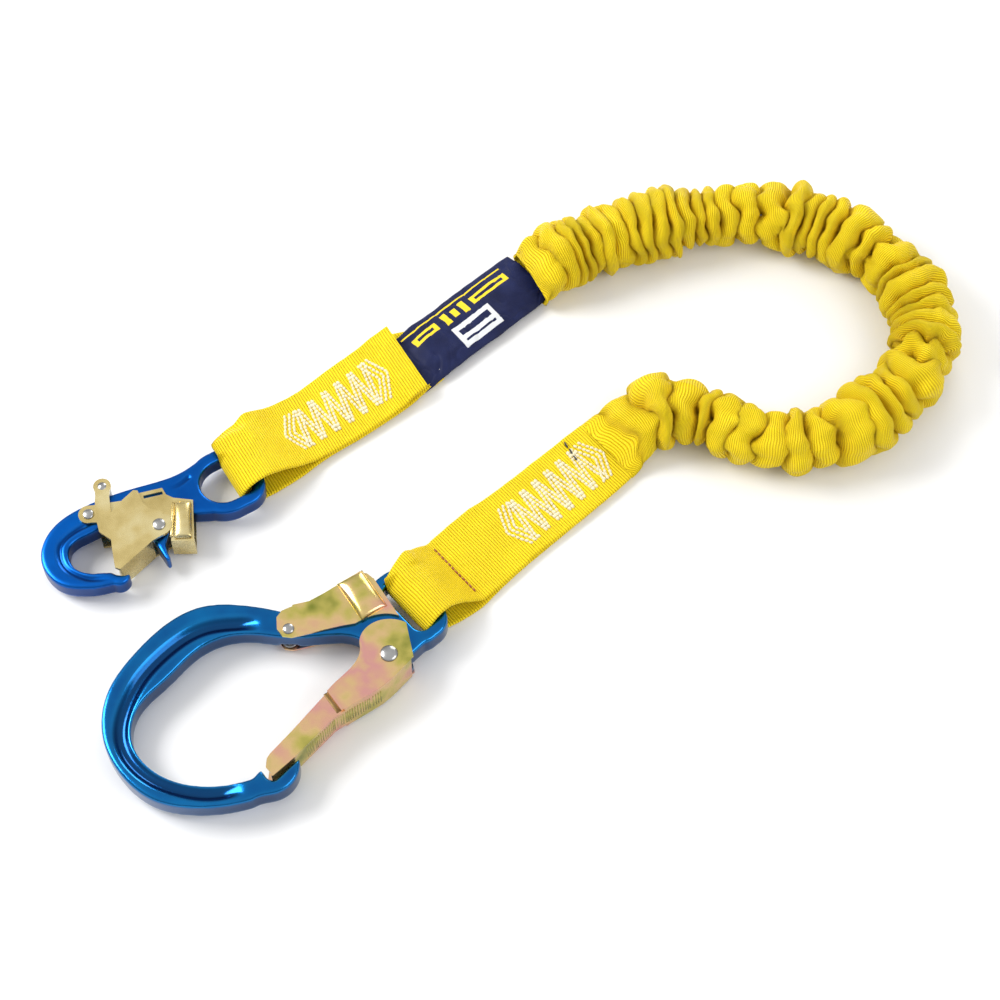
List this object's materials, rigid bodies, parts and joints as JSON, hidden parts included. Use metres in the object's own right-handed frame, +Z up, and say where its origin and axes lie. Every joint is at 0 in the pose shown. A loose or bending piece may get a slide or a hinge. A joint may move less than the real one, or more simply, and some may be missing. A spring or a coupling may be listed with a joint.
{
  "type": "shock absorbing lanyard",
  "caption": "Gathered webbing shock absorbing lanyard with a double-locking snap hook at one end and a large rebar hook at the other.",
  "frame": {"origin": "bottom centre of the whole lanyard's box as it lies flat", "axes": "+X along the longer side of the lanyard as it lies, +Y towards the stretch leg's upper run, +Z up from the surface"},
  "size_m": [0.5274, 0.4068, 0.036],
  "materials": {
    "web_yellow": "ribbed woven polyester webbing",
    "sleeve_navy": "smooth coated nylon cloth",
    "label_white": "printed satin label cloth",
    "thread_cream": "bonded thread",
    "thread_red": "bonded thread",
    "thread_black": "bonded thread",
    "core_white": "partially oriented yarn strap",
    "elastic_white": "covered elastic strand",
    "snap_blue": "satin blue coated forging",
    "rebar_blue": "glossy blue coated forging",
    "gold_zinc": "pale gold chromated steel sheet",
    "yellow_chromate": "iridescent yellow chromated steel sheet",
    "bright_steel": "polished rivet",
    "spring_steel": "drawn wire"
  },
  "bodies": {
    "lanyard": {"stretch_jacket": "web_yellow", "shock_core": "core_white", "elastic_strands": "elastic_white", "snap_end_web": "web_yellow", "rebar_end_web": "web_yellow", "label_sleeve": "sleeve_navy", "label_leaves": "label_white", "snap_end_stitching": "thread_cream", "rebar_end_stitching": "thread_cream", "red_tack_row": "thread_red", "black_tack_row": "thread_black"},
    "snap_hook": {"snap_hook_body": "snap_blue", "snap_gate_rivet": "bright_steel", "snap_lock_rivet": "bright_steel", "snap_gate_spring": "spring_steel", "snap_lock_spring": "spring_steel"},
    "snap_gate": {"snap_gate": "gold_zinc", "snap_stop_pin": "bright_steel"},
    "snap_lock_lever": {"snap_lock_lever": "gold_zinc"},
    "rebar_hook": {"rebar_hook_body": "rebar_blue", "rebar_gate_rivet": "bright_steel", "rebar_lock_rivet": "bright_steel", "rebar_gate_spring": "spring_steel", "rebar_lock_spring": "spring_steel"},
    "rebar_gate": {"rebar_gate": "yellow_chromate"},
    "rebar_lock_lever": {"rebar_lock_lever": "yellow_chromate"}
  },
  "joints": [
    {"name": "snap_hook_swing", "type": "hinge", "parent": "lanyard", "child": "snap_hook", "pos_m": [-0.14904, 0.00665, 0.0112], "axis": [-0.515, 0.8572, 0], "range_deg": [0, 75]},
    {"name": "snap_gate_open", "type": "hinge", "parent": "snap_hook", "child": "snap_gate", "pos_m": [-0.19791, -0.03298, 0.0112], "axis": [0, 0, 1], "range_deg": [-35, 0], "stiffness_Nm_per_rad": 0.05, "springref_deg": 20.05, "deforming": ["snap_gate_spring"]},
    {"name": "snap_lock_press", "type": "hinge", "parent": "snap_hook", "child": "snap_lock_lever", "pos_m": [-0.23864, -0.02537, 0.0112], "axis": [0, 0, 1], "range_deg": [0, 8.75], "stiffness_Nm_per_rad": 0.05, "springref_deg": -11.46, "deforming": ["snap_lock_spring"]},
    {"name": "rebar_hook_swing", "type": "hinge", "parent": "lanyard", "child": "rebar_hook", "pos_m": [-0.04921, -0.07702, 0.0127], "axis": [-0.6587, 0.7524, 0], "range_deg": [0, 75]},
    {"name": "rebar_gate_open", "type": "hinge", "parent": "rebar_hook", "child": "rebar_gate", "pos_m": [-0.06648, -0.11508, 0.0127], "axis": [0, 0, 1], "range_deg": [-40, 0], "stiffness_Nm_per_rad": 0.08, "springref_deg": 20.05, "deforming": ["rebar_gate_spring"]},
    {"name": "rebar_lock_press", "type": "hinge", "parent": "rebar_hook", "child": "rebar_lock_lever", "pos_m": [-0.12212, -0.09905, 0.0127], "axis": [0, 0, 1], "range_deg": [-8, 0], "stiffness_Nm_per_rad": 0.05, "springref_deg": 11.46, "deforming": ["rebar_lock_spring"]}
  ],
  "couplings": [
    {"joint": "snap_lock_press", "follows": "snap_gate_open", "ratio": -0.25},
    {"joint": "rebar_lock_press", "follows": "rebar_gate_open", "ratio": 0.2}
  ]
}
